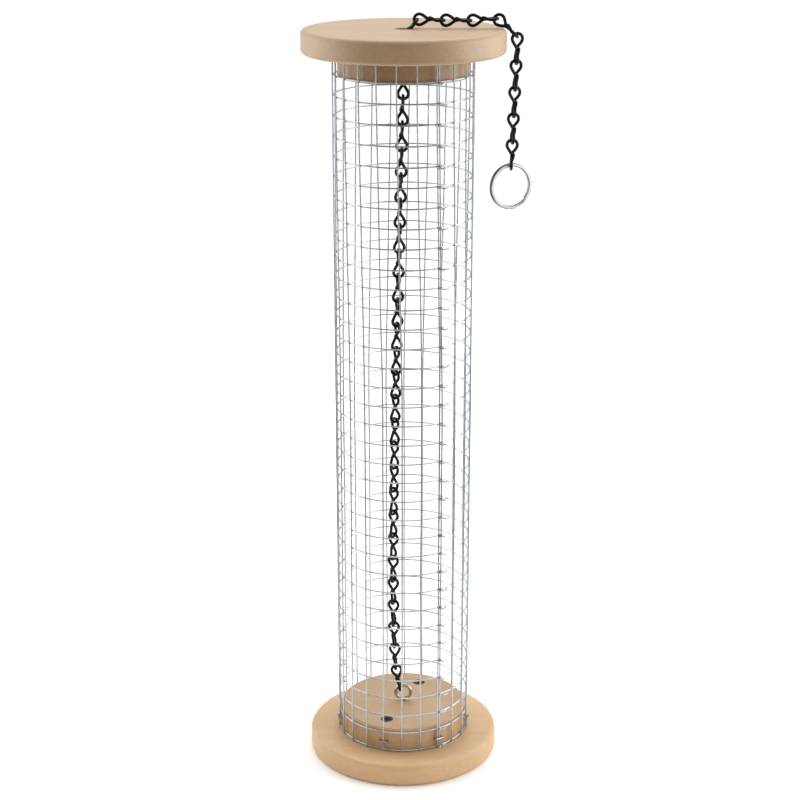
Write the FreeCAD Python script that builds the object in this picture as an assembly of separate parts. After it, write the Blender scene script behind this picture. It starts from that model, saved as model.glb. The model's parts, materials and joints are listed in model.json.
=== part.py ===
import FreeCAD, Part
import math
import os

from FreeCAD import Placement, Rotation, Vector

# Hanging wire-mesh nut feeder: a welded-wire tube between a wooden base and a lift-off wooden lid,
# strung on a jack chain that runs from a screw eye in the base, up through the lid, to a split ring.
# Millimetres. Origin: centre of the base's underside. +Z is up, -Y is the front.
# Azimuths are degrees from the front, positive towards +X.

# ---- driving dimensions ----
DISC_R = 63.5             # base and lid boards, 5 inches across
DISC_T = 15.0
DISC_ROUND = 3.0          # rounded rims of both boards
TUBE_LENGTH = 458.0       # clear height between the boards, 18 inches of mesh and a little play

BASE_PLUG_R = 42.4
BASE_PLUG_T = 16.0
LID_PLUG_R = 41.0         # looser than the base plug, so that the lid lifts out
LID_PLUG_T = 14.0
PLUG_CHAMFER = 0.8
CHAIN_HOLE_R = 5.5
CHAIN_HOLE_CHAMFER = 0.8

CELL = 12.7               # half-inch welded mesh
CELLS_ROUND = 22
WIRE_R = 0.5
TUBE_R = 44.0             # centreline of the upright wires
WELD_SINK = 0.1           # how far a ring wire is welded into an upright
RING_COUNT = 36
FIRST_RING_LIFT = 1.0     # lowest ring above the base board
END_GAP = 0.2             # upright wire ends short of each board
TUBE_TWIST = -4.5         # lean of the uprights, as an azimuth change from bottom to top
SEAM_AZIMUTH = 31.5
SEAM_OVERLAP = 2.2        # from the inner edge wire to the outer one, along the circumference
HOOK_TAIL = 5.5           # beyond the outer edge wire
HOOK_DROP = 1.0

STAPLED_UPRIGHTS = (3, 7, 11, 15, 19)    # counted from the seam, which has a staple over both its wires
STAPLE_WIRE_R = 0.6
STAPLE_CROWN = 5.4
STAPLE_LEG = 10.0
STAPLE_LIFT = 7.0         # above the base board

SCREW_CIRCLE_R = 29.5
SCREW_AZIMUTH = 158.0     # one screw of each pair, the other is opposite
SCREW_HEAD_R = 4.2
SCREW_HEAD_H = 2.6
SCREW_SHANK_R = 2.0
SCREW_LENGTH = 25.0
SCREW_TIP_R = 0.3
SCREW_TIP_H = 3.0
RECESS_LENGTH = 4.6       # cross recess in the screw heads
RECESS_WIDTH = 1.0
RECESS_DEPTH = 1.4

EYE_WIRE_R = 1.2
EYE_R = 5.1               # centreline of the eye
EYE_LIFT = 6.5            # eye centre above the base plug
EYE_SHANK = 13.0          # depth in the wood
EYE_HOOK_ANGLE = 145.0    # where the chain hooks the eye, from +X towards +Z
EYE_HOOK_R = 2.85         # wire centre of the lowest link, from the eye centre

PITCH = 16.4              # chain, from one joint to the next
CHAIN_WIRE_R = 1.0
LOOP_R = 3.25             # centreline of a link's round ends
JOINT_PLAY = 0.1
WAIST_R = 1.3

INNER_LINKS = 27
INNER_PITCH = 16.24       # the inner chain stands a little slack
INNER_BOW = 4.9           # how far it bows towards -X
INNER_BOW_SKEW = 0.5      # under 1, the bow is deepest low down
INNER_TWIST = 90.0        # turn of the links from the bottom one to the top one
INNER_TWIST_SKEW = 1.6    # over 1, most of the turn is low down
TOP_LINK_DROP = 3.3       # the link inside the lid's hole sits low in the one below it

LID_CHAIN_X = 8.5         # joint of the first and second outer links
LID_CHAIN_LIFT = 5.5      # the same joint above the lid
FIRST_LINK_TILT = 38.0    # from upright, leaning towards +X
LYING_TILTS = (92.0, 90.5, 86.1)
RIM_LINK_TILT = 132.0
HANGING_LINKS = 5
HANGING_TILT = 181.7      # the hanging links lean in a little

RING_R = 13.5             # split ring, centreline
RING_STRIP_RADIAL = 2.0
RING_STRIP_AXIAL = 2.6
RING_TURN = 25.0          # about the vertical
RING_GAP_DEG = 8.0
RING_PLAY = 0.7           # between the ring and the link it hangs on

# ---- worked-out levels ----
MESH_BOTTOM = DISC_T + END_GAP
LID_BOTTOM = DISC_T + TUBE_LENGTH
LID_TOP = LID_BOTTOM + DISC_T
BASE_PLUG_TOP = DISC_T + BASE_PLUG_T
RING_TUBE_R = TUBE_R - 2 * WIRE_R + WELD_SINK
JOINT_GAP = 2 * CHAIN_WIRE_R + JOINT_PLAY     # between the wire centres of two linked loops
UP = Vector(0, 0, 1)


# ---- small helpers ----
def on_circle(radius, azimuth, z):
    a = math.radians(azimuth)
    return Vector(radius * math.sin(a), -radius * math.cos(a), z)


def rod(start, end, radius):
    run = end - start
    return Part.makeCylinder(radius, run.Length, start, run)


def bent_rod(centre, axis, arm, angle, radius):
    """A round rod bent to an arc: it starts at centre + arm and turns by angle about axis."""
    circle = Part.Circle(centre + arm, axis.cross(arm), radius)
    face = Part.Face(Part.Wire(circle.toShape()))
    return face.revolve(centre, axis, angle)


def turned(shape, azimuth):
    copy = shape.copy()
    copy.rotate(Vector(0, 0, 0), UP, azimuth)
    return copy


def fused(first, *others):
    return first.multiFuse(list(others)).removeSplitter()


# ---- wooden pieces ----
def board(bottom):
    disc = Part.makeCylinder(DISC_R, DISC_T, Vector(0, 0, bottom))
    rims = [e for e in disc.Edges if e.Closed and len(e.Vertexes) == 1]
    return disc.makeFillet(DISC_ROUND, rims)


def plug(radius, thickness, bottom, chamfer_top):
    disc = Part.makeCylinder(radius, thickness, Vector(0, 0, bottom))
    level = bottom + thickness if chamfer_top else bottom
    rim = [e for e in disc.Edges if e.Closed and abs(e.CenterOfMass.z - level) < 0.01]
    return disc.makeChamfer(PLUG_CHAMFER, rim)


def chain_hole(bottom, top):
    return Part.makeCylinder(CHAIN_HOLE_R, top - bottom, Vector(0, 0, bottom))


def chain_hole_chamfer():
    low = Vector(0, 0, LID_TOP - CHAIN_HOLE_CHAMFER)
    return Part.makeCone(CHAIN_HOLE_R, CHAIN_HOLE_R + CHAIN_HOLE_CHAMFER, CHAIN_HOLE_CHAMFER, low)


# ---- screws, staples and the screw eye ----
def screw_blank():
    """A countersunk wood screw with no recess, with the top of its head at z = 0."""
    cone = Part.makeCone(SCREW_SHANK_R, SCREW_HEAD_R, SCREW_HEAD_H, Vector(0, 0, -SCREW_HEAD_H))
    point = Vector(0, 0, -SCREW_LENGTH)
    tip = Part.makeCone(SCREW_TIP_R, SCREW_SHANK_R, SCREW_TIP_H, point)
    shank_h = SCREW_LENGTH - SCREW_HEAD_H - SCREW_TIP_H
    shank = Part.makeCylinder(SCREW_SHANK_R, shank_h, point + UP * SCREW_TIP_H)
    return fused(shank, cone, tip)


def cross_recess():
    slot = Part.makeBox(RECESS_LENGTH, RECESS_WIDTH, RECESS_DEPTH)
    slot.translate(Vector(-RECESS_LENGTH / 2, -RECESS_WIDTH / 2, -RECESS_DEPTH))
    return slot.fuse(turned(slot, 90))


def screw_pair(screw, head_level, head_up):
    """Two opposite screws, with their heads up or down."""
    pair = []
    for azimuth in (SCREW_AZIMUTH, SCREW_AZIMUTH + 180):
        copy = screw.copy()
        if not head_up:
            copy.rotate(Vector(0, 0, 0), Vector(1, 0, 0), 180)
        copy.rotate(Vector(0, 0, 0), UP, azimuth)
        copy.translate(on_circle(SCREW_CIRCLE_R, azimuth, head_level))
        pair.append(copy)
    return pair


def staple(azimuth):
    radius = TUBE_R + WIRE_R + STAPLE_WIRE_R
    half = STAPLE_CROWN / 2
    level = DISC_T + STAPLE_LIFT
    left, right = Vector(-half, -radius, level), Vector(half, -radius, level)
    inward = Vector(0, STAPLE_LEG, 0)
    pieces = [rod(left, left + inward, STAPLE_WIRE_R), rod(right, right + inward, STAPLE_WIRE_R)]
    pieces += [Part.makeSphere(STAPLE_WIRE_R, corner) for corner in (left, right)]
    return turned(fused(rod(left, right, STAPLE_WIRE_R), *pieces), azimuth)


def upright_azimuth(step, level):
    share = (level - DISC_T) / TUBE_LENGTH
    return SEAM_AZIMUTH - step * 360.0 / CELLS_ROUND + TUBE_TWIST * share


def staples():
    level = DISC_T + STAPLE_LIFT
    seam_middle = upright_azimuth(0, level) + math.degrees(SEAM_OVERLAP / TUBE_R) / 2
    return [staple(seam_middle)] + [staple(upright_azimuth(i, level)) for i in STAPLED_UPRIGHTS]


def screw_eye():
    centre = Vector(0, 0, BASE_PLUG_TOP + EYE_LIFT)
    eye = Part.makeTorus(EYE_R, EYE_WIRE_R, centre, Vector(0, 1, 0))
    neck = centre - UP * EYE_R
    return fused(eye, rod(Vector(0, 0, BASE_PLUG_TOP - EYE_SHANK), neck, EYE_WIRE_R))


# ---- welded mesh ----
def upright(azimuth_bottom, azimuth_top):
    low = on_circle(TUBE_R, azimuth_bottom, MESH_BOTTOM)
    high = on_circle(TUBE_R, azimuth_top, LID_BOTTOM - END_GAP)
    return rod(low, high, WIRE_R)


def uprights():
    offset = math.degrees(SEAM_OVERLAP / TUBE_R)
    ends = [(upright_azimuth(i, DISC_T), upright_azimuth(i, LID_BOTTOM)) for i in range(CELLS_ROUND)]
    ends.append((ends[0][0] + offset, ends[0][1] + offset))
    return [upright(low, high) for low, high in ends]


def ring_level(i):
    return DISC_T + FIRST_RING_LIFT + i * CELL


def mesh_rings():
    return [Part.makeTorus(RING_TUBE_R, WIRE_R, Vector(0, 0, ring_level(i))) for i in range(RING_COUNT)]


def seam_hook(i):
    """A ring wire's cut end: one turn about the seam's outer edge wire, and a short tail."""
    level = ring_level(i)
    radius = TUBE_R + 2 * WIRE_R
    knot = Part.makeTorus(2 * WIRE_R, WIRE_R, Vector(0, -TUBE_R, level))
    start = Vector(0, -radius, level)
    drop = min(HOOK_DROP, level - WIRE_R - MESH_BOTTOM)
    end = Vector(HOOK_TAIL, -radius, level - drop)
    hook = fused(knot, rod(start, end, WIRE_R), Part.makeSphere(WIRE_R, end))
    return turned(hook, upright_azimuth(0, level) + math.degrees(SEAM_OVERLAP / TUBE_R))


# ---- chain ----
def link_loop(side, waist, centre):
    """One teardrop loop of a link, from the waist round the end centred at centre, in side's plane."""
    out = centre - waist
    half_angle = math.degrees(math.asin(LOOP_R / out.Length))
    axis = out.cross(side).normalize()
    back = Rotation(axis, half_angle).multVec(side)
    arm = back * LOOP_R
    far_arm = Rotation(axis, -half_angle).multVec(side * -1) * LOOP_R
    pieces = [bent_rod(centre, axis * -1, arm, 180 + 2 * half_angle, CHAIN_WIRE_R)]
    pieces += [rod(centre + a, waist, CHAIN_WIRE_R) for a in (arm, far_arm)]
    return pieces


def jack_link():
    """A link along +Z with the wire it hangs on at the origin, and its own far wire PITCH above."""
    waist = Vector(0, 0, (PITCH - JOINT_GAP) / 2)
    near = Vector(0, 0, LOOP_R - JOINT_GAP)
    far = Vector(0, 0, PITCH - LOOP_R)
    pieces = link_loop(Vector(1, 0, 0), waist, near) + link_loop(Vector(0, 1, 0), waist, far)
    return fused(Part.makeSphere(WAIST_R, waist), *pieces)


def placed_link(link, start, direction, turn):
    lean = Rotation(UP, direction)
    spin = Rotation(UP, turn)
    copy = link.copy()
    copy.Placement = Placement(start, lean.multiply(spin))
    return copy


def inner_chain_x(z, start):
    """The bow of the inner chain: 0 in the lid's hole, and most a quarter of the way up."""
    share = min((z - start.z) / (LID_BOTTOM - LID_PLUG_T - start.z), 1.0)
    return start.x * (1 - share) - INNER_BOW * math.sin(math.pi * share ** INNER_BOW_SKEW)


def inner_chain(link):
    """Links from the eye up into the lid's hole, on a line that bows towards -X."""
    hook = math.radians(EYE_HOOK_ANGLE)
    eye_centre = Vector(0, 0, BASE_PLUG_TOP + EYE_LIFT)
    foot = eye_centre + Vector(math.cos(hook), 0, math.sin(hook)) * EYE_HOOK_R + UP * JOINT_GAP
    links = []
    start = foot
    for i in range(INNER_LINKS):
        if i == INNER_LINKS - 1:
            start = start - UP * TOP_LINK_DROP
        lean = math.asin((inner_chain_x(start.z + INNER_PITCH, foot) - start.x) / INNER_PITCH)
        direction = Vector(math.sin(lean), 0, math.cos(lean))
        turn = INNER_TWIST * (1 - i / (INNER_LINKS - 1)) ** INNER_TWIST_SKEW
        links.append(placed_link(link, start, direction, turn))
        start = start + direction * INNER_PITCH
    return links


def tilt_direction(tilt):
    a = math.radians(tilt)
    return Vector(math.sin(a), 0, math.cos(a))


def outer_pivots():
    """Joints of the outer chain: out of the hole, along the lid, over the rim and down."""
    first = tilt_direction(FIRST_LINK_TILT)
    joint = Vector(LID_CHAIN_X, 0, LID_TOP + LID_CHAIN_LIFT)
    tilts = [FIRST_LINK_TILT, *LYING_TILTS, RIM_LINK_TILT] + [HANGING_TILT] * HANGING_LINKS
    points = [joint - first * PITCH]
    for tilt in tilts:
        points.append(points[-1] + tilt_direction(tilt) * PITCH)
    return points


def outer_chain(link):
    points = outer_pivots()
    return [placed_link(link, a, (b - a).normalize(), 0) for a, b in zip(points, points[1:])]


def ring_turn(low, high, gap_at):
    """One turn of strip about Y, from y = low to y = high, open at gap_at degrees from +X."""
    axis = Vector(0, 1, 0)
    base = Vector(0, low, 0)
    outer = Part.makeCylinder(RING_R + RING_STRIP_RADIAL / 2, high - low, base, axis)
    bore = Part.makeCylinder(RING_R - RING_STRIP_RADIAL / 2, high - low, base, axis)
    width = RING_R * math.radians(RING_GAP_DEG)
    gap = Part.makeBox(2 * RING_STRIP_RADIAL, high - low, width)
    gap.translate(Vector(RING_R - RING_STRIP_RADIAL, low, -width / 2))
    gap.rotate(Vector(0, 0, 0), axis, -gap_at)
    return outer.cut(bore).cut(gap)


def split_ring():
    """Two turns of strip side by side, hanging on the wire of the last link."""
    half = RING_STRIP_AXIAL / 2
    ring = ring_turn(-half, 0, -70).fuse(ring_turn(0, half, 110)).removeSplitter()
    ring.rotate(Vector(0, 0, 0), UP, RING_TURN)
    hang = RING_R - RING_STRIP_RADIAL / 2 - CHAIN_WIRE_R - RING_PLAY
    ring.translate(outer_pivots()[-1] - UP * hang)
    return ring


# ---- the whole feeder ----
def cut_all(shape, tools):
    for tool in tools:
        shape = shape.cut(tool)
    return shape


def wooden_parts(eye, staple_set):
    blank = screw_blank()
    lid_plug_low = LID_BOTTOM - LID_PLUG_T
    base_sockets = screw_pair(blank, BASE_PLUG_TOP, True)
    lid_sockets = screw_pair(blank, lid_plug_low, False)
    base_plug = plug(BASE_PLUG_R, BASE_PLUG_T, DISC_T, True)
    lid_plug = plug(LID_PLUG_R, LID_PLUG_T, lid_plug_low, False)
    lid_bore = [chain_hole(LID_BOTTOM, LID_TOP), chain_hole_chamfer()]
    plug_bore = [chain_hole(lid_plug_low, LID_BOTTOM)]
    return {
        "base_disc": cut_all(board(0), base_sockets),
        "base_plug": cut_all(base_plug, base_sockets + [eye] + staple_set),
        "lid_disc": cut_all(board(LID_BOTTOM), lid_sockets + lid_bore),
        "lid_plug": cut_all(lid_plug, lid_sockets + plug_bore),
    }


def feeder():
    """Every node by name, each a list of solids."""
    screw = screw_blank().cut(cross_recess())
    link = jack_link()
    eye = screw_eye()
    staple_set = staples()
    nodes = {name: [piece] for name, piece in wooden_parts(eye, staple_set).items()}
    nodes["base_plug_screws"] = screw_pair(screw, BASE_PLUG_TOP, True)
    nodes["lid_plug_screws"] = screw_pair(screw, LID_BOTTOM - LID_PLUG_T, False)
    nodes["base_staples"] = staple_set
    nodes["screw_eye"] = [eye]
    nodes["mesh_vertical_wires"] = uprights()
    rings = mesh_rings()
    nodes["mesh_rings_lower"] = rings[:RING_COUNT // 2]
    nodes["mesh_rings_upper"] = rings[RING_COUNT // 2:]
    nodes["mesh_seam_hooks"] = [seam_hook(i) for i in range(RING_COUNT)]
    nodes.update({f"inner_link_{i:02d}": [p] for i, p in enumerate(inner_chain(link), 1)})
    nodes.update({f"outer_link_{i:02d}": [p] for i, p in enumerate(outer_chain(link), 1)})
    nodes["split_ring"] = [split_ring()]
    return nodes


def main():
    os.makedirs("parts", exist_ok=True)
    for name, solids in feeder().items():
        shape = solids[0] if len(solids) == 1 else Part.makeCompound(solids)
        print(f"{name}: {len(shape.Solids)} solids, {shape.Volume:.1f} mm3, valid {shape.isValid()}")
        shape.exportStep(f"parts/{name}.step")


main()
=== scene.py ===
import json
import math
import random

import bpy
from mathutils import Matrix, Vector, noise


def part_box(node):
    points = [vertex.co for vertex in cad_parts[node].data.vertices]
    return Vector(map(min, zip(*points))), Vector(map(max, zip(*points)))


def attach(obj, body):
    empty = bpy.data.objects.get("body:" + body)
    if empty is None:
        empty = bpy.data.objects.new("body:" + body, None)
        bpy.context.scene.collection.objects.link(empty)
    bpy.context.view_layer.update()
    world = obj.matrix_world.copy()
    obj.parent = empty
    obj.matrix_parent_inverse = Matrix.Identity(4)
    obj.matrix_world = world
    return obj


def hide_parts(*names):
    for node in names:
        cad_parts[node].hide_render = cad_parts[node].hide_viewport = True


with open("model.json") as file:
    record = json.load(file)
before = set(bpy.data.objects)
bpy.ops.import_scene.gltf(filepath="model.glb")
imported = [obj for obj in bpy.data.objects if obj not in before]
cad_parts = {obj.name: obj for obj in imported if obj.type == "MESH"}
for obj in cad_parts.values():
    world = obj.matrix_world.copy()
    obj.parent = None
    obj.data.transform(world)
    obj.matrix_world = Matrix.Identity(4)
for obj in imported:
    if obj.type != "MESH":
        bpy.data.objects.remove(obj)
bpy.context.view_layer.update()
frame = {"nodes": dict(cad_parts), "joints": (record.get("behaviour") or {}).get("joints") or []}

# ---- sizes, in metres and degrees, in the frame's own axes ----
MM = 0.001
UP = Vector((0, 0, 1))
Y_AXIS = Vector((0, 1, 0))
SHARP_ANGLE = 40.0               # edges that turn more than this stay sharp

BOARD_ROUND = 3.0 * MM
BOARD_SEGMENTS = 256
RIM_STEPS = 10
SIDE_STEPS = 4
FACE_RINGS = (0.35, 0.7, 0.9)    # extra rows of points on a board's faces, as shares of its radius
HOLE_R = 5.5 * MM
HOLE_CHAMFER = 0.8 * MM
HOLE_RIM = ((1.6, 0.0), (1.0, 0.1), (0.35, 0.45), (0.0, 1.0))    # outwards and down, in chamfers
HOLE_LOW_RING = 2.0 * MM         # an extra row of points round the hole's lower end
SANDED_FROM = 0.8                # the sanding starts at this share of the radius
SANDED_BROAD = 0.16 * MM
SANDED_FINE = 0.05 * MM
BROAD_WAVES = 55                 # per metre
FINE_WAVES = 240

WIRE_R = 0.5 * MM
WIRE_SIDES = 8
CELL = 12.7 * MM
CELLS_ROUND = 22
RING_COUNT = 36
SEAM_AZIMUTH = 31.5              # the first edge wire's turn from the front towards +X
SEAM_OVERLAP = 1.4 * MM          # between the two edge wires
WELD_SINK = 0.1 * MM             # how deep the ring wires sink into the uprights
WELD_R = 0.62 * MM
WELD_HEIGHT = 0.45 * MM
WELD_SIZES = (0.9, 1.1)          # times WELD_R
LEAN_BOTTOM_TO_MIDDLE = 0.3      # degrees of turn of the uprights
LEAN_BOTTOM_TO_TOP = -4.5
LEAN_EASE = 0.6                  # how much of the upper half's lean eases in and out
DRIFT = 0.35                     # an upright's own shift round the tube
SWAY = 0.45                      # its slow waves round the tube
SWAY_WAVES = 14                  # per metre
PUSH = 0.12 * MM                 # its short waves in and out
PUSH_WAVES = 60
RING_SEGMENTS = 132
RING_TILT = 0.22 * MM
RING_WAVE_UP = 0.18 * MM
RING_WAVE_OUT = 0.10 * MM
HOOK_WIRE_R = 0.96 * WIRE_R
HOOK_LEAD = 2.0 * MM             # a cut end comes in from this far along the ring
HOOK_START = -40                 # where its turn round the edge wire begins
HOOK_STEP = 45
HOOK_POINTS = 11
HOOK_TOP = 0.35                  # mm above the row, where the turn starts
HOOK_FALLS = (0.08, 0.20)        # mm from one point of the turn to the next
HOOK_TAIL = 5.5 * MM
HOOK_TAIL_RANGE = (0.72, 1.1)    # times HOOK_TAIL
HOOK_DROPS = (0.7, 1.5)          # mm below the row, where the tail starts
HOOK_TAIL_SHARES = (0.4, 0.7, 1.0)
HOOK_RISES = (0.0, 0.1, 0.4, 0.9, 1.6)    # mm, by which a tail turns up again
HOOK_FLOOR_GAP = 0.2 * MM        # the least gap between a tail and the base board

CHAIN_WIRE_R = 1.0 * MM
PITCH = 16.4 * MM
LOOP_R = 3.25 * MM
LOOP_STEPS = 8
LINK_TUCK = 1.3 * MM             # how far off the waist's middle the cut ends lie
LINK_CROSS = 0.62 * MM           # how far the wire swings out where it crosses the waist
JOINT_GAP = 2.1 * MM             # between the centres of two wires that hook together
INNER_PITCH = 16.24 * MM
INNER_BOW = 4.9 * MM             # how far the chain in the tube bows towards -X
INNER_BOW_SKEW = 0.5
INNER_TWIST = 90.0               # the turn of the lowest link, which fades out up the chain
INNER_TWIST_SKEW = 1.6
HANGING_SLOPE = -0.9             # a link hangs where its direction's z is below this
HANGING_TWIST = -10.0            # the hanging links but the last are turned a little about the chain's line
TOP_LINK_DROP = 3.3 * MM         # the highest inner link stands this much lower than its joint
EYE_R = 5.1 * MM
EYE_WIRE_R = 1.2 * MM
EYE_LIFT = 6.5 * MM
EYE_SHANK = 4.0 * MM             # how deep the eye's wire goes into the plug
EYE_START = -72.0                # where the eye leaves its shank, degrees from +X
EYE_STEP = 21.4
EYE_POINTS = 16
EYE_SPREAD = 0.35 * MM           # how far the eye's end stands behind its start
EYE_HOOK_ANGLE = 145.0
EYE_HOOK_R = 2.85 * MM

STRIP_RADIAL = 2.0 * MM
STRIP_AXIAL = 2.6 * MM
STRIP_SLIT = 0.06 * MM
STRIP_CORNER = 0.34 * MM
RING_R = 13.5 * MM
RING_TURN = 25.0                 # the ring's turn about the chain's line
RING_PLAY = 0.7 * MM             # between the ring and the last link's wire
RING_STEPS = 300
RING_CROSSING = 34.0             # the strip passes from the front turn to the back turn over this angle
RING_SHORT = 3.0                 # the back turn ends this far before the place where the crossing starts
RING_END = -76.0                 # where the strip's front end is, degrees from +X

# ---- places, from the frame ----
BASE_LOW, BASE_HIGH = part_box("base_disc")
LID_LOW, LID_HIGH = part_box("lid_disc")
PLUG_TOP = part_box("base_plug")[1].z
LID_PLUG_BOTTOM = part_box("lid_plug")[0].z
WIRES_LOW, WIRES_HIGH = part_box("mesh_vertical_wires")
BOARD_R = BASE_HIGH.x
TUBE_R = WIRES_HIGH.y - WIRE_R
RING_TUBE_R = TUBE_R - 2 * WIRE_R + WELD_SINK
FIRST_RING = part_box("mesh_rings_lower")[0].z + WIRE_R
SEAM_EDGE = SEAM_AZIMUTH + math.degrees(SEAM_OVERLAP / TUBE_R)
EYE_CENTRE = Vector((0, 0, PLUG_TOP + EYE_LIFT))
JOINTS = {j["name"]: j for j in frame["joints"]}

rng = random.Random(7)


# ---- mesh helpers ----
def on_circle(radius, azimuth, z):
    """A point round the tube. Azimuth is from the front, -Y, towards +X."""
    a = math.radians(azimuth)
    return Vector((radius * math.sin(a), -radius * math.cos(a), z))


def smooth_path(points, steps):
    """Centripetal Catmull-Rom through points."""
    n = len(points)
    path = []
    for i in range(n - 1):
        p1, p2 = points[i], points[i + 1]
        p0 = points[i - 1] if i else p1 * 2 - p2
        p3 = points[i + 2] if i + 2 < n else p2 * 2 - p1
        t0 = 0.0
        t1 = t0 + math.sqrt((p1 - p0).length)
        t2 = t1 + math.sqrt((p2 - p1).length)
        t3 = t2 + math.sqrt((p3 - p2).length)
        for k in range(steps):
            t = t1 + (t2 - t1) * k / steps
            a1 = p0.lerp(p1, (t - t0) / (t1 - t0))
            a2 = p1.lerp(p2, (t - t1) / (t2 - t1))
            a3 = p2.lerp(p3, (t - t2) / (t3 - t2))
            b1 = a1.lerp(a2, (t - t0) / (t2 - t0))
            b2 = a2.lerp(a3, (t - t1) / (t3 - t1))
            path.append(b1.lerp(b2, (t - t1) / (t2 - t1)))
    path.append(points[-1].copy())
    return path


class MeshBuilder:
    """Collects tubes, sweeps, lathed shapes and beads into one mesh."""

    def __init__(self):
        self.verts = []
        self.faces = []

    def ring_faces(self, a, b, count):
        for k in range(count):
            m = (k + 1) % count
            self.faces.append((a + k, a + m, b + m, b + k))

    def tube(self, path, radius, sides=WIRE_SIDES, closed=False, dome=0.5):
        """A round wire along path. Open ends are domed by dome times the radius."""
        n = len(path)
        tangents = []
        for i in range(n):
            ahead = path[(i + 1) % n] if closed or i + 1 < n else path[i]
            behind = path[i - 1] if closed or i else path[i]
            tangents.append((ahead - behind).normalized())
        normal = tangents[0].orthogonal().normalized()
        starts = []
        for point, tangent in zip(path, tangents):
            normal = (normal - tangent * normal.dot(tangent)).normalized()
            side = tangent.cross(normal)
            starts.append(len(self.verts))
            for k in range(sides):
                a = 2 * math.pi * k / sides
                self.verts.append(point + (normal * math.cos(a) + side * math.sin(a)) * radius)
        for a, b in zip(starts, starts[1:]):
            self.ring_faces(a, b, sides)
        if closed:
            self.close_tube(starts[-1], starts[0], sides)
        else:
            self.end_cap(starts[0], path[0], -tangents[0], radius, sides, dome, True)
            self.end_cap(starts[-1], path[-1], tangents[-1], radius, sides, dome, False)

    def close_tube(self, last, first, sides):
        """Joins the last ring to the first, at the turn where they match best."""
        def gap(shift):
            return sum((self.verts[last + k] - self.verts[first + (k + shift) % sides]).length
                       for k in range(sides))
        shift = min(range(sides), key=gap)
        for k in range(sides):
            m = (k + 1) % sides
            ring = (last + k, last + m, first + (m + shift) % sides, first + (k + shift) % sides)
            self.faces.append(ring)

    def end_cap(self, start, centre, out, radius, sides, dome, flip):
        """A shallow dome: one smaller ring at 0.6 of the radius, and a tip a little above it."""
        inner = len(self.verts)
        for k in range(sides):
            rim = self.verts[start + k]
            self.verts.append(centre.lerp(rim, 0.6) + out * radius * dome)
        tip = len(self.verts)
        self.verts.append(centre + out * radius * dome * 1.15)
        for k in range(sides):
            m = (k + 1) % sides
            side = (start + k, start + m, inner + m, inner + k)
            top = (inner + k, inner + m, tip)
            self.faces.append(side[::-1] if flip else side)
            self.faces.append(top[::-1] if flip else top)

    def sweep(self, centres, axes, section):
        """A closed section of (u, v) points carried along centres with (u, v) axes, capped flat."""
        count = len(section)
        starts = []
        for centre, (u, v) in zip(centres, axes):
            starts.append(len(self.verts))
            self.verts += [centre + u * a + v * b for a, b in section]
        for a, b in zip(starts, starts[1:]):
            self.ring_faces(a, b, count)
        self.faces.append(tuple(starts[0] + k for k in range(count))[::-1])
        self.faces.append(tuple(starts[-1] + k for k in range(count)))

    def lathe(self, profile, segments, change):
        """Turns (radius, z) points about Z, each moved by change. A radius of 0 closes the profile."""
        rows = []
        for radius, z in profile:
            if radius == 0:
                rows.append([len(self.verts)])
                self.verts.append(Vector((0, 0, z)))
                continue
            row = []
            for k in range(segments):
                a = 2 * math.pi * k / segments
                row.append(len(self.verts))
                self.verts.append(change(Vector((radius * math.cos(a), radius * math.sin(a), z))))
            rows.append(row)
        for low, high in zip(rows, rows[1:]):
            for k in range(segments):
                m = (k + 1) % segments
                if len(low) == 1:
                    self.faces.append((low[0], high[m], high[k]))
                elif len(high) == 1:
                    self.faces.append((low[k], low[m], high[0]))
                else:
                    self.faces.append((low[k], low[m], high[m], high[k]))

    def bead(self, centre, axes, radii, rows=4, columns=7):
        """A small ellipsoid."""
        top = len(self.verts)
        self.verts.append(centre + axes[2] * radii[2])
        for i in range(1, rows):
            polar = math.pi * i / rows
            for k in range(columns):
                a = 2 * math.pi * k / columns
                spot = axes[0] * (radii[0] * math.sin(polar) * math.cos(a))
                spot += axes[1] * (radii[1] * math.sin(polar) * math.sin(a))
                self.verts.append(centre + spot + axes[2] * (radii[2] * math.cos(polar)))
        bottom = len(self.verts)
        self.verts.append(centre - axes[2] * radii[2])
        last = top + 1 + (rows - 2) * columns
        for k in range(columns):
            m = (k + 1) % columns
            self.faces.append((top, top + 1 + k, top + 1 + m))
            self.faces.append((bottom, last + m, last + k))
        for i in range(rows - 2):
            a = top + 1 + i * columns
            for k in range(columns):
                m = (k + 1) % columns
                self.faces.append((a + k, a + columns + k, a + columns + m, a + m))

    def mesh(self, name):
        data = bpy.data.meshes.new(name)
        data.from_pydata([tuple(v) for v in self.verts], [], self.faces)
        data.validate()
        data.polygons.foreach_set("use_smooth", [True] * len(data.polygons))
        data.set_sharp_from_angle(angle=math.radians(SHARP_ANGLE))
        data.update()
        return data


def add_object(name, data):
    made = bpy.data.objects.new(name, data)
    bpy.context.scene.collection.objects.link(made)
    return made


def add_piece(name, data, body, slot, material, *nodes):
    """Links a mesh as a piece that rides on body and stands for the named CAD nodes."""
    piece = add_object(name, data)
    if not data.materials:
        data.materials.append(material)
    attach(piece, body)
    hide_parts(*nodes)


# ---- materials ----
BLACK = (0, 0, 0)
WHITE = (1, 1, 1)

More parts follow.
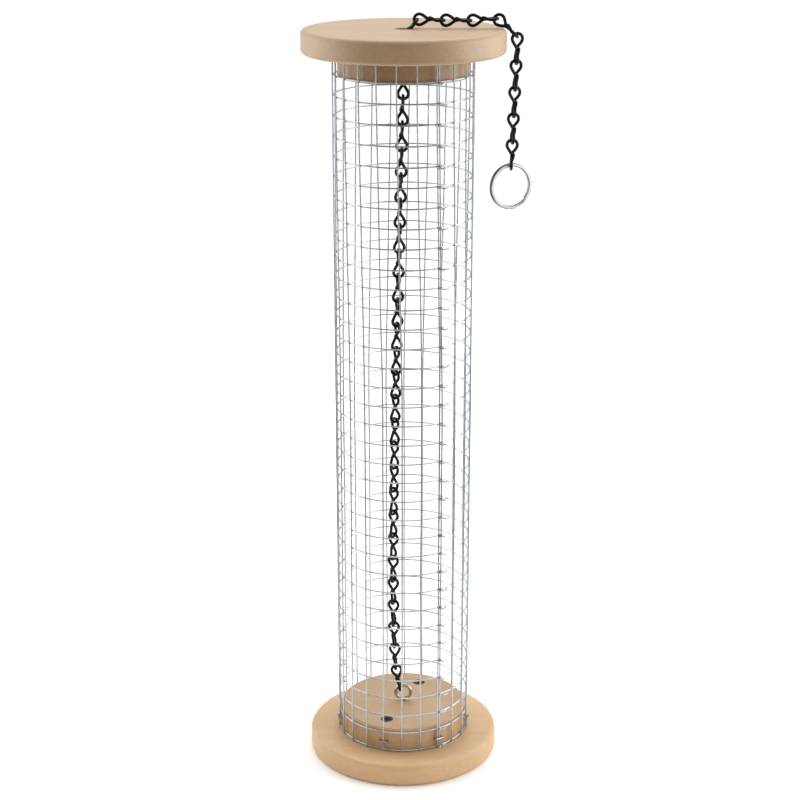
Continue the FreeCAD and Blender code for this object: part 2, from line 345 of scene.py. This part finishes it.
# Each wood's light, middle and deep tone.
PALE = ((0.525, 0.360, 0.215), (0.475, 0.316, 0.181), (0.31, 0.19, 0.098))
WARM = ((0.59, 0.398, 0.224), (0.53, 0.347, 0.184), (0.34, 0.207, 0.10))
# Darker than WARM: painted shade, for the shade that the tube and the nuts in it cast on the base plug.
PLUG_PAINTED_SHADE = ((0.50, 0.335, 0.19), (0.44, 0.285, 0.15), (0.29, 0.175, 0.085))
# Darker than PALE: painted shade, for the shade under the lid on the lid plug.
LID_PLUG_PAINTED_SHADE = ((0.43, 0.285, 0.165), (0.35, 0.225, 0.125), (0.20, 0.12, 0.065))
SPECK = (0.86, 0.74, 0.60)
BAND_SHARE = 0.16                # how strongly each layer of the wood tints the one below it
FIBRE_SHARE = 0.13
FLECK_SHARE = 0.42
BLOOM_SHARE = 0.3
SCUFF_SHARE = 0.3


class Shader:
    """A Principled material with short helpers for its nodes."""

    MIX_SOCKETS = (0, 6, 7)      # a Mix node's factor and its two colours
    MIX_RESULT = 2

    def __init__(self, name):
        self.material = bpy.data.materials.new(name)
        self.material.use_nodes = True
        self.nodes = self.material.node_tree.nodes
        self.links = self.material.node_tree.links
        self.bsdf = self.nodes["Principled BSDF"]

    def plug(self, socket, value):
        """Links a node's output into a socket, or sets a plain value on it."""
        if isinstance(value, bpy.types.NodeSocket):
            self.links.new(value, socket)
        else:
            socket.default_value = value

    def node(self, kind, **inputs):
        made = self.nodes.new(kind)
        for key, value in inputs.items():
            self.plug(made.inputs[key], value)
        return made

    def coordinates(self, scale=(1.0, 1.0, 1.0), offset=(0.0, 0.0, 0.0)):
        """Object coordinates, first moved by offset and then scaled."""
        place = self.node("ShaderNodeTexCoord")
        shift = self.node("ShaderNodeMapping", Location=offset, Vector=place.outputs["Object"])
        grown = self.node("ShaderNodeMapping", Vector=shift.outputs["Vector"], Scale=scale)
        return grown.outputs["Vector"]

    def noise(self, vector, scale, detail=4.0, rough=0.55, distortion=0.0):
        made = self.node("ShaderNodeTexNoise", Vector=vector, Scale=scale, Detail=detail,
                         Roughness=rough, Distortion=distortion)
        return made.outputs["Fac"]

    def ramp(self, fac, stops):
        made = self.node("ShaderNodeValToRGB", Fac=fac)
        elements = made.color_ramp.elements
        while len(elements) < len(stops):
            elements.new(0.5)
        for element, (position, colour) in zip(elements, stops):
            element.position = position
            element.color = (*colour, 1.0)
        return made.outputs["Color"]

    def mix(self, fac, under, over):
        """Puts the colour over on the colour under, by the factor. A plain colour may be given as over."""
        made = self.nodes.new("ShaderNodeMix")
        made.data_type = "RGBA"
        if not isinstance(over, bpy.types.NodeSocket):
            over = (*over, 1.0)
        for index, value in zip(self.MIX_SOCKETS, (fac, under, over)):
            self.plug(made.inputs[index], value)
        return made.outputs[self.MIX_RESULT]

    def math(self, operation, a, b):
        made = self.nodes.new("ShaderNodeMath")
        made.operation = operation
        self.plug(made.inputs[0], a)
        self.plug(made.inputs[1], b)
        return made.outputs[0]

    def spread(self, fac, low, span):
        """A value from low to low + span."""
        return self.math("ADD", self.math("MULTIPLY", fac, span), low)

    def bump(self, height, strength, distance):
        made = self.node("ShaderNodeBump", Strength=strength, Distance=distance, Height=height)
        return made.outputs["Normal"]

    def finish(self, **inputs):
        """Sets the Principled node's inputs. An underscore stands for a space."""
        for key, value in inputs.items():
            self.plug(self.bsdf.inputs[key.replace("_", " ")], value)
        return self.material


def wood_material(name, tone, offset, speckle=0.12, sheen=0.5):
    """Pale sanded hardwood cut along X: faint growth bands, fine fibres, brown flecks and pale specks."""
    s = Shader(name)
    light, middle, deep = tone
    place = s.coordinates(offset=offset)
    along_bands = s.coordinates((0.12, 1.0, 1.0), offset)
    along_fibres = s.coordinates((26.0, 620.0, 620.0), offset)
    along_flecks = s.coordinates((420.0, 2600.0, 1500.0), offset)
    cloud = s.noise(place, scale=17.0, detail=3.0)
    bands = s.noise(along_bands, scale=60.0, detail=3.0, rough=0.5, distortion=0.6)
    fibres = s.noise(along_fibres, scale=1.0, detail=4.0, rough=0.6)
    flecks = s.noise(along_flecks, scale=1.0, detail=2.0, rough=0.5)
    specks = s.noise(place, scale=900.0, detail=2.0, rough=0.5)
    colour = s.ramp(cloud, [(0.3, middle), (0.7, light)])
    colour = s.mix(BAND_SHARE, colour, s.ramp(bands, [(0.38, deep), (0.62, light)]))
    colour = s.mix(FIBRE_SHARE, colour, s.ramp(fibres, [(0.35, deep), (0.65, light)]))
    fleck_mask = s.ramp(flecks, [(0.29, WHITE), (0.35, BLACK)])
    colour = s.mix(s.math("MULTIPLY", fleck_mask, FLECK_SHARE), colour, deep)
    speck_mask = s.ramp(specks, [(0.62, BLACK), (0.70, WHITE)])
    colour = s.mix(s.math("MULTIPLY", speck_mask, speckle), colour, SPECK)
    height = s.math("SUBTRACT", s.math("MULTIPLY", fibres, 0.5), fleck_mask)
    normal = s.bump(height, strength=0.3, distance=0.1 * MM)
    rough = s.spread(fibres, low=0.36, span=0.16)
    return s.finish(Base_Color=colour, Roughness=rough, Normal=normal, IOR=1.45, Specular_IOR_Level=sheen)


def galvanised_material():
    """Dull bluish zinc on wire: spangle patches and white bloom."""
    s = Shader("galvanised_wire")
    place = s.coordinates()
    patches = s.noise(place, scale=260.0, detail=4.0, rough=0.6)
    bloom = s.noise(place, scale=60.0, detail=3.0, rough=0.6)
    colour = s.ramp(patches, [(0.3, (0.36, 0.40, 0.44)), (0.7, (0.56, 0.60, 0.64))])
    bloom_mask = s.ramp(bloom, [(0.55, BLACK), (0.75, WHITE)])
    colour = s.mix(s.math("MULTIPLY", bloom_mask, BLOOM_SHARE), colour, (0.62, 0.65, 0.69))
    rough = s.spread(patches, low=0.22, span=0.25)
    normal = s.bump(patches, strength=0.3, distance=0.06 * MM)
    return s.finish(Base_Color=colour, Roughness=rough, Normal=normal, Metallic=0.85)


def black_chain_material():
    """Gloss black coating with slightly uneven gloss and small greyer scuffs."""
    s = Shader("black_chain")
    place = s.coordinates()
    coat = s.noise(place, scale=700.0, detail=4.0, rough=0.6)
    scuffs = s.noise(place, scale=330.0, detail=5.0, rough=0.7)
    scuff_mask = s.ramp(scuffs, [(0.62, BLACK), (0.72, WHITE)])
    colour = s.ramp(coat, [(0.3, (0.002, 0.002, 0.003)), (0.8, (0.006, 0.006, 0.008))])
    colour = s.mix(s.math("MULTIPLY", scuff_mask, SCUFF_SHARE), colour, (0.02, 0.02, 0.023))
    rough = s.spread(coat, low=0.13, span=0.2)
    normal = s.bump(coat, strength=0.25, distance=0.08 * MM)
    return s.finish(Base_Color=colour, Roughness=rough, Normal=normal, Specular_IOR_Level=0.22)


def plated_material(name, dark, light, rough_low, rough_span, scratch_scale, metallic=1.0):
    """Metal plating in darker and lighter patches, with fine scratches."""
    s = Shader(name)
    place = s.coordinates()
    fine = s.coordinates((scratch_scale, scratch_scale, scratch_scale * 4))
    patches = s.noise(place, scale=420.0, detail=4.0, rough=0.6)
    scratches = s.noise(fine, scale=1.0, detail=2.0, rough=0.5)
    colour = s.ramp(patches, [(0.3, dark), (0.7, light)])
    rough = s.spread(patches, rough_low, rough_span)
    normal = s.bump(scratches, strength=0.12, distance=0.04 * MM)
    return s.finish(Base_Color=colour, Roughness=rough, Normal=normal, Metallic=metallic)


def floor_material():
    s = Shader("studio_floor")
    paper = s.noise(s.coordinates(), scale=3.0, detail=3.0)
    colour = s.ramp(paper, [(0.3, (0.955, 0.955, 0.96)), (0.7, (0.97, 0.97, 0.975))])
    return s.finish(Base_Color=colour, Roughness=0.9)


def one_sided_felt_material():
    """Black felt that is clear from behind."""
    s = Shader("black_felt")
    felt = s.noise(s.coordinates(), scale=40.0, detail=3.0)
    colour = s.ramp(felt, [(0.3, (0.03, 0.028, 0.026)), (0.7, (0.06, 0.056, 0.052))])
    side = s.node("ShaderNodeNewGeometry")
    clear = s.node("ShaderNodeBsdfTransparent")
    one_sided = s.node("ShaderNodeMixShader", Fac=side.outputs["Backfacing"])
    s.links.new(s.bsdf.outputs["BSDF"], one_sided.inputs[1])
    s.links.new(clear.outputs["BSDF"], one_sided.inputs[2])
    s.links.new(one_sided.outputs["Shader"], s.nodes["Material Output"].inputs["Surface"])
    return s.finish(Base_Color=colour, Roughness=0.95)


# ---- wooden boards, and the nodes that keep their CAD shapes ----
def board_profile(low, high, bore):
    """Half a section of a board with rounded rims: out along the underside, up the side, and in along the
    top to the middle, or to the bore and down it."""
    centre_r = BOARD_R - BOARD_ROUND
    straight = high - low - 2 * BOARD_ROUND
    quarter = [90 * i / RIM_STEPS for i in range(RIM_STEPS + 1)]
    points = [(bore, low)]
    if bore:
        points.append((bore + HOLE_LOW_RING, low))
    points += [(BOARD_R * share, low) for share in FACE_RINGS]
    for a in (math.radians(angle - 90) for angle in quarter):
        points.append((centre_r + BOARD_ROUND * math.cos(a), low + BOARD_ROUND * (1 + math.sin(a))))
    for k in range(1, SIDE_STEPS):
        points.append((BOARD_R, low + BOARD_ROUND + straight * k / SIDE_STEPS))
    for a in (math.radians(angle) for angle in quarter):
        points.append((centre_r + BOARD_ROUND * math.cos(a), high - BOARD_ROUND * (1 - math.sin(a))))
    points += [(BOARD_R * share, high) for share in reversed(FACE_RINGS)]
    if bore:
        points += [(bore + HOLE_CHAMFER * out, high - HOLE_CHAMFER * down) for out, down in HOLE_RIM]
        points += [(bore, (low + high) / 2), (bore, low)]
    else:
        points.append((0, high))
    return points


def sanded(point):
    """Hand-sanded unevenness: the rim draws in by up to a fifth of a millimetre."""
    reach = Vector((point.x, point.y, 0)).length
    if reach < BOARD_R * SANDED_FROM:
        return point
    broad = 0.5 + 0.5 * noise.noise(point * BROAD_WAVES + Vector((3, 7, 1)))
    fine = 0.5 + 0.5 * noise.noise(point * FINE_WAVES)
    keep = 1 - (SANDED_BROAD * broad + SANDED_FINE * fine) / reach
    return Vector((point.x * keep, point.y * keep, point.z))


def make_boards(base_wood, lid_wood):
    for name, node, body, low, high, bore, wood in (
        ("base_board", "base_disc", "feeder_body", BASE_LOW.z, BASE_HIGH.z, 0, base_wood),
        ("lid_board", "lid_disc", "lid", LID_LOW.z, LID_HIGH.z, HOLE_R, lid_wood),
    ):
        builder = MeshBuilder()
        builder.lathe(board_profile(low, high, bore), BOARD_SEGMENTS, sanded)
        add_piece(name, builder.mesh(name), body, "wood", wood, node)


def finish_cad_nodes(materials):
    """The plugs, screws and staples keep their CAD shapes, with the sockets and recesses."""
    for node, material in materials.items():
        data = frame["nodes"][node].data
        data.materials.clear()
        data.materials.append(material)


# ---- welded mesh ----
def lean(level):
    """Turn of the uprights at a level, in degrees: nearly upright low down, leaning higher up."""
    share = (level - WIRES_LOW.z) / (WIRES_HIGH.z - WIRES_LOW.z)
    if share < 0.5:
        return LEAN_BOTTOM_TO_MIDDLE * share * 2
    rise = (share - 0.5) * 2
    eased = rise * rise * (3 - 2 * rise)
    amount = (1 - LEAN_EASE) * rise + LEAN_EASE * eased
    return LEAN_BOTTOM_TO_MIDDLE + (LEAN_BOTTOM_TO_TOP - LEAN_BOTTOM_TO_MIDDLE) * amount


def upright_azimuth(step):
    return SEAM_AZIMUTH - step * 360.0 / CELLS_ROUND


def ring_level(i):
    return FIRST_RING + i * CELL


def make_uprights(material):
    """The 22 uprights, and the second edge wire beside the first where the mesh is joined."""
    builder = MeshBuilder()
    levels = [WIRES_LOW.z] + [ring_level(i) for i in range(RING_COUNT)] + [WIRES_HIGH.z]
    azimuths = [upright_azimuth(step) for step in range(CELLS_ROUND)] + [SEAM_EDGE]
    for azimuth in azimuths:
        phase = rng.uniform(0, 50)
        drift = rng.uniform(-DRIFT, DRIFT)
        points = []
        for level in levels:
            sway = noise.noise(Vector((phase, level * SWAY_WAVES, 0))) * SWAY + drift
            push = noise.noise(Vector((phase + 9, level * PUSH_WAVES, 0))) * PUSH
            points.append(on_circle(TUBE_R + push, azimuth + lean(level) + sway, level))
        builder.tube(smooth_path(points, 2), WIRE_R, dome=0.3)
    add_piece("mesh_uprights", builder.mesh("mesh_uprights"), "feeder_body",
              "galvanised_wire", material, "mesh_vertical_wires")


def make_rings(material):
    """Ring wires and the flattened weld at each crossing."""
    builder = MeshBuilder()
    for i in range(RING_COUNT):
        level = ring_level(i)
        tilt = Vector((rng.uniform(-1, 1), rng.uniform(-1, 1), 0)) * RING_TILT
        phase = rng.uniform(0, 80)
        path = []
        for k in range(RING_SEGMENTS):
            azimuth = 360.0 * k / RING_SEGMENTS
            spot = on_circle(1.0, azimuth, 0)
            wave = noise.noise(Vector((spot.x * 2 + phase, spot.y * 2, 0)))
            z = level + tilt.dot(spot) + wave * RING_WAVE_UP
            path.append(on_circle(RING_TUBE_R + wave * RING_WAVE_OUT, azimuth, z))
        builder.tube(path, WIRE_R, closed=True)
        for step in range(CELLS_ROUND):
            azimuth = upright_azimuth(step) + lean(level)
            out = on_circle(1.0, azimuth, 0)
            along = UP.cross(out)
            centre = on_circle(TUBE_R - WIRE_R, azimuth, level)
            across = WELD_R * rng.uniform(*WELD_SIZES)
            builder.bead(centre, (along, UP, out), (across, across, WELD_HEIGHT))
    add_piece("mesh_rings", builder.mesh("mesh_rings"), "feeder_body",
              "galvanised_wire", material, "mesh_rings_lower", "mesh_rings_upper")


def make_seam_hooks(material):
    """At each row the ring wire's cut end is wound once round the outer edge wire and left sticking out."""
    builder = MeshBuilder()
    coil = 2 * WIRE_R
    for i in range(RING_COUNT):
        level = ring_level(i)
        azimuth = SEAM_EDGE + lean(level)
        out = on_circle(1.0, azimuth, 0)
        along = UP.cross(out)
        centre = on_circle(TUBE_R, azimuth, level)
        fall = rng.uniform(*HOOK_FALLS)
        points = [centre - along * HOOK_LEAD - out * coil * 0.95 + UP * 0.1 * MM]
        for k in range(HOOK_POINTS):
            turn = math.radians(HOOK_START + HOOK_STEP * k)
            arm = along * math.sin(turn) * coil - out * math.cos(turn) * coil
            points.append(centre + arm + UP * (HOOK_TOP - fall * k) * MM)
        reach = HOOK_TAIL * rng.uniform(*HOOK_TAIL_RANGE)
        rise = rng.choice(HOOK_RISES) * MM
        lowest = BASE_HIGH.z + WIRE_R + HOOK_FLOOR_GAP - level
        drop = max(-rng.uniform(*HOOK_DROPS) * MM, lowest)
        for share in HOOK_TAIL_SHARES:
            away = reach * share
            bend = out * (coil - away * away / 2 / TUBE_R + 0.1 * MM * share)
            points.append(centre + along * away + bend + UP * (drop + rise * share * share))
        builder.tube(smooth_path(points, 3), HOOK_WIRE_R, sides=7, dome=0.2)
    add_piece("seam_hooks", builder.mesh("seam_hooks"), "feeder_body",
              "galvanised_wire", material, "mesh_seam_hooks")


# ---- chain ----
def link_path():
    """One bent wire: from its cut end beside the waist, round the near loop, across, and round the far loop,
    a quarter turn on, to its other cut end."""
    waist = (PITCH - JOINT_GAP) / 2
    near = LOOP_R - JOINT_GAP
    far = PITCH - LOOP_R
    half_angle = math.degrees(math.asin(LOOP_R / (waist - near)))
    loop = [(180 + 2 * half_angle) * k / LOOP_STEPS for k in range(LOOP_STEPS + 1)]
    cut_end = ((0.35 * MM, LINK_TUCK, 0.1 * MM), (-0.75 * MM, LINK_TUCK * 0.8, -1.3 * MM))
    points = [Vector((x, y, waist + z)) for x, y, z in cut_end]
    for angle in loop:
        a = math.radians(180 - half_angle + angle)
        points.append(Vector((LOOP_R * math.cos(a), 0, near + LOOP_R * math.sin(a))))
    points.append(Vector((LINK_CROSS, 0, waist - 1.0 * MM)))
    points.append(Vector((0.1 * MM, 0.1 * MM, waist)))
    points.append(Vector((0, LINK_CROSS, waist + 1.0 * MM)))
    for angle in loop:
        a = math.radians(-half_angle + angle)
        points.append(Vector((0, LOOP_R * math.cos(a), far + LOOP_R * math.sin(a))))
    points += [Vector((-y, x, waist - z)) for x, y, z in reversed(cut_end)]
    return smooth_path(points, 4)


def placed(start, direction, turn):
    """A link's place: its near joint at start, its far joint along direction, turned about that line."""
    lean_up = UP.rotation_difference(direction).to_matrix().to_4x4()
    return Matrix.Translation(start) @ lean_up @ Matrix.Rotation(math.radians(turn), 4, UP)


def inner_chain_x(z, foot):
    """Where the chain's line is at a height: at the foot's own x low down, bowed towards -X higher up."""
    share = min((z - foot.z) / (LID_PLUG_BOTTOM - foot.z), 1.0)
    return foot.x * (1 - share) - INNER_BOW * math.sin(math.pi * share ** INNER_BOW_SKEW)


def inner_places(count):
    """Where each inner link stands: from the eye upwards on a line that bows towards -X."""
    hook = math.radians(EYE_HOOK_ANGLE)
    foot = EYE_CENTRE + Vector((math.cos(hook), 0, math.sin(hook))) * EYE_HOOK_R + UP * JOINT_GAP
    start = foot
    places = []
    for i in range(count):
        if i == count - 1:
            start = start - UP * TOP_LINK_DROP
        tilt = math.asin((inner_chain_x(start.z + INNER_PITCH, foot) - start.x) / INNER_PITCH)
        direction = Vector((math.sin(tilt), 0, math.cos(tilt)))
        turn = INNER_TWIST * (1 - i / (count - 1)) ** INNER_TWIST_SKEW
        places.append(placed(start, direction, turn))
        start = start + direction * INNER_PITCH
    return places


def outer_places(count):
    """Where each outer link lies, from the frame's own joints."""
    joints = [JOINTS[f"chain_joint_{i:02d}"] for i in range(1, count + 1)]
    swing = Vector(JOINTS["ring_swing"]["pos_m"])
    last = swing - UP * (STRIP_RADIAL / 2 + CHAIN_WIRE_R + RING_PLAY)
    starts = [Vector(joint["pos_m"]) for joint in joints] + [last]
    for i, joint in enumerate(joints):
        turns_about_x = abs(joint["axis"][0]) > 0.5
        if turns_about_x:        # such a joint is a gap before this link's start
            direction = (starts[i + 1] - starts[i]).normalized()
            starts[i] = starts[i] + direction * JOINT_GAP
    places = []
    for i, (a, b) in enumerate(zip(starts, starts[1:]), 1):
        direction = (b - a).normalized()
        twisted = direction.z < HANGING_SLOPE and i < count
        places.append(placed(a, direction, HANGING_TWIST if twisted else 0))
    return places


def make_chain(material):
    """One link shape, copied to the place of every inner and outer link."""
    builder = MeshBuilder()
    builder.tube(link_path(), CHAIN_WIRE_R, sides=12, dome=0.35)
    data = builder.mesh("chain_link")
    inner = sorted(n for n in frame["nodes"] if n.startswith("inner_link_"))
    outer = sorted(n for n in frame["nodes"] if n.startswith("outer_link_"))
    places = list(zip(inner, inner_places(len(inner)))) + list(zip(outer, outer_places(len(outer))))
    for node, place in places:
        body = "feeder_body" if node in inner else node
        copy = data.copy()
        copy.transform(place)
        add_piece("wire_" + node, copy, body, "black_chain", material, node)


# ---- screw eye and split ring ----
def make_screw_eye(material):
    """One wire: up out of the plug, and round the eye from its foot almost back to it."""
    points = [Vector((0, 0, PLUG_TOP - EYE_SHANK)), Vector((0, 0, PLUG_TOP - 1 * MM))]
    points.append(Vector((0.1 * MM, 0, PLUG_TOP + 0.2 * MM)))
    for k in range(EYE_POINTS):
        a = math.radians(EYE_START + EYE_STEP * k)
        back = EYE_SPREAD * (k / (EYE_POINTS - 1) - 0.3)
        points.append(EYE_CENTRE + Vector((EYE_R * math.cos(a), back, EYE_R * math.sin(a))))
    builder = MeshBuilder()
    builder.tube(smooth_path(points, 4), EYE_WIRE_R * 0.99, sides=14, dome=0.3)
    add_piece("eye_wire", builder.mesh("eye_wire"), "feeder_body", "zinc_hardware", material, "screw_eye")


def rounded_rectangle(width, height, radius, corner_steps=3):
    """The (u, v) points of a section, from its +u side round by +v, -u and -v."""
    section = []
    for cx, cy, start in ((1, 1, 0), (-1, 1, 90), (-1, -1, 180), (1, -1, 270)):
        for k in range(corner_steps + 1):
            a = math.radians(start + 90 * k / corner_steps)
            section.append((cx * (width / 2 - radius) + radius * math.cos(a),
                            cy * (height / 2 - radius) + radius * math.sin(a)))
    return section


def make_split_ring(face, edge):
    """Flat strip wound twice, from its front end round to the front again, across, and round the back."""
    turn = Matrix.Rotation(math.radians(RING_TURN), 4, UP)
    low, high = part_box("split_ring")
    centre = (low + high) / 2
    axis = turn @ Y_AXIS
    front_turn = 360.0 - RING_CROSSING
    whole_turn = 720.0 - RING_CROSSING - RING_SHORT
    centres, axes = [], []
    for k in range(RING_STEPS + 1):
        angle = whole_turn * k / RING_STEPS
        share = min(max((angle - front_turn) / RING_CROSSING, 0.0), 1.0)
        across = (share * share * (3 - 2 * share) - 0.5) * STRIP_AXIAL / 2
        a = math.radians(RING_END - angle)
        out = turn @ Vector((math.cos(a), 0, math.sin(a)))
        centres.append(centre + out * RING_R + axis * across)
        axes.append((out, axis))
    section = rounded_rectangle(STRIP_RADIAL, STRIP_AXIAL / 2 - STRIP_SLIT, STRIP_CORNER)
    builder = MeshBuilder()
    builder.sweep(centres, axes, section)
    data = builder.mesh("ring_strip")
    # edge is a near-black copy of the nickel plate: painted shade for the strip's edges.
    for material in (face, edge):
        data.materials.append(material)
    # The back, inner and front sides keep the bright plate. The outer side, the corners and the ends get
    # painted shade: a near-black copy of the plate, for the dark reflections at the strip's edges.
    corner = len(section) // 4
    bright_sides = {corner - 1, 2 * corner - 1, 3 * corner - 1}
    for index, polygon in enumerate(data.polygons):
        polygon.material_index = 0 if index % len(section) in bright_sides else 1
    add_piece("ring_strip", data, "split_ring", "nickel_ring", face, "split_ring")


# ---- stage, light and camera ----
FLOOR_SIZE = 30
CARD_PLACE = (0, -1.75, 0.004)
CARD_SIZE = (3.4, 3.1, 1)

ROOM_LEVELS = ((0.0, 0.24), (0.32, 0.32), (0.5, 0.75), (1.0, 0.9))    # grey of the world, front to back
ROOM_STRENGTH = 0.75
SUN_STRENGTH = 2.2
SUN_WIDTH = 70.0
SUN_TILT = -24.0

# Each soft light's name, place, target, size, watts and colour.
NEUTRAL = (1, 1, 1)
SOFT_LIGHTS = (
    ("left_box", (-1.6, 0.3, 0.5), (0, 0, 0.25), (1.9, 1.7), 18, NEUTRAL),
    ("right_box", (1.6, -0.1, 0.55), (0, 0, 0.27), (1.9, 1.7), 29, NEUTRAL),
    ("low_front", (0, -0.62, 0.19), (0, 0, 0.12), (0.7, 0.18), 0.9, (1.0, 0.82, 0.6)),
)

CAMERA_PLACE = (-2.2 * MM, -1126.2 * MM, 614.0 * MM)
CAMERA_DOWN = 17.97
CAMERA_LENS = 81.57              # mm, on a sensor 36 mm wide
CAMERA_SENSOR = 36.0


def make_floor():
    bpy.ops.mesh.primitive_plane_add(size=FLOOR_SIZE, location=(0, 0, 0))
    floor = bpy.context.object
    floor.name = "studio_floor"
    floor.data.materials.append(floor_material())


def make_card():
    """A black card in front of the feeder, so that metal has dark cores. Seen from below it is clear, so the
    floor under it stays pale."""
    bpy.ops.mesh.primitive_plane_add(size=1, location=CARD_PLACE)
    card = bpy.context.object
    card.name = "black_card"
    card.scale = CARD_SIZE
    card.data.materials.append(one_sided_felt_material())
    card.visible_camera = False


def make_room():
    """A pale studio: bright overhead, at the sides and behind, and dim on the camera's side."""
    world = bpy.data.worlds.new("soft_room")
    bpy.context.scene.world = world
    world.use_nodes = True
    nodes, links = world.node_tree.nodes, world.node_tree.links
    place = nodes.new("ShaderNodeTexCoord")
    axes = nodes.new("ShaderNodeSeparateXYZ")
    half = nodes.new("ShaderNodeMath")
    half.operation = "MULTIPLY_ADD"
    half.inputs[1].default_value = 0.5
    half.inputs[2].default_value = 0.5
    ramp = nodes.new("ShaderNodeValToRGB")
    elements = ramp.color_ramp.elements
    while len(elements) < len(ROOM_LEVELS):
        elements.new(0.5)
    for element, (position, level) in zip(elements, ROOM_LEVELS):
        element.position = position
        element.color = (level, level, level, 1.0)
    links.new(place.outputs["Generated"], axes.inputs[0])
    links.new(axes.outputs["Y"], half.inputs[0])
    links.new(half.outputs[0], ramp.inputs["Fac"])
    links.new(ramp.outputs["Color"], nodes["Background"].inputs["Color"])
    nodes["Background"].inputs["Strength"].default_value = ROOM_STRENGTH


def add_soft_light(name, place, target, size, power, colour):
    light = bpy.data.lights.new(name, "AREA")
    light.shape = "RECTANGLE"
    light.size, light.size_y = size
    light.energy = power
    light.color = colour
    holder = add_object(name, light)
    holder.location = place
    holder.rotation_euler = (Vector(target) - Vector(place)).to_track_quat("-Z", "Y").to_euler()


def make_light():
    bpy.context.scene.view_settings.view_transform = "Standard"
    make_room()
    sun = bpy.data.lights.new("overhead", "SUN")
    sun.energy = SUN_STRENGTH
    sun.angle = math.radians(SUN_WIDTH)
    add_object("overhead", sun).rotation_euler = (math.radians(SUN_TILT), 0, 0)
    for row in SOFT_LIGHTS:
        add_soft_light(*row)


def make_camera():
    """The standpoint of a person's picture: 1.13 m in front, 0.61 m up, looking 18 degrees down."""
    camera = bpy.data.cameras.new("camera")
    camera.sensor_width = CAMERA_SENSOR
    camera.lens = CAMERA_LENS
    holder = add_object("camera", camera)
    holder.location = CAMERA_PLACE
    holder.rotation_euler = (math.radians(90 - CAMERA_DOWN), 0, 0)
    bpy.context.scene.camera = holder


def main():
    make_camera()
    make_floor()
    make_card()
    make_light()
    base_wood = wood_material("base_wood", WARM, offset=(0.31, 0.07, 0.02))
    # The base plug's darker tone is painted shade from the tube and the nuts on it.
    base_plug_wood_painted_shade = wood_material("base_plug_wood_painted_shade", PLUG_PAINTED_SHADE, offset=(0.77, 0.18, 0.05))
    lid_wood = wood_material("lid_wood", PALE, offset=(1.21, 0.42, 0.31), speckle=0.17, sheen=0.75)
    # The lid plug's darker tone is painted shade from the lid above it.
    lid_plug_wood_painted_shade = wood_material("lid_plug_wood_painted_shade", LID_PLUG_PAINTED_SHADE, offset=(1.93, 0.37, 0.22))
    galvanised = galvanised_material()
    zinc = plated_material("zinc_plate", dark=(0.30, 0.30, 0.30), light=(0.55, 0.55, 0.54),
                           rough_low=0.12, rough_span=0.2, scratch_scale=900)
    nickel = plated_material("nickel_plate", dark=(0.66, 0.66, 0.66), light=(0.80, 0.80, 0.79),
                             rough_low=0.25, rough_span=0.2, scratch_scale=1200, metallic=0.55)
    # A near-black copy of the nickel plate: painted shade for the split ring's outer side, corners and ends.
    nickel_painted_shade = plated_material("nickel_painted_shade", dark=(0.05, 0.05, 0.06), light=(0.12, 0.12, 0.13),
                                  rough_low=0.2, rough_span=0.2, scratch_scale=1200)
    screw_steel = plated_material("screw_steel", dark=(0.02, 0.02, 0.02), light=(0.07, 0.07, 0.065),
                                  rough_low=0.3, rough_span=0.3, scratch_scale=800)
    make_boards(base_wood, lid_wood)
    finish_cad_nodes({
        "base_plug": base_plug_wood_painted_shade,
        "lid_plug": lid_plug_wood_painted_shade,
        "base_plug_screws": screw_steel,
        "lid_plug_screws": screw_steel,
        "base_staples": zinc,
    })
    make_uprights(galvanised)
    make_rings(galvanised)
    make_seam_hooks(galvanised)
    make_screw_eye(zinc)
    make_chain(black_chain_material())
    make_split_ring(nickel, nickel_painted_shade)


main()
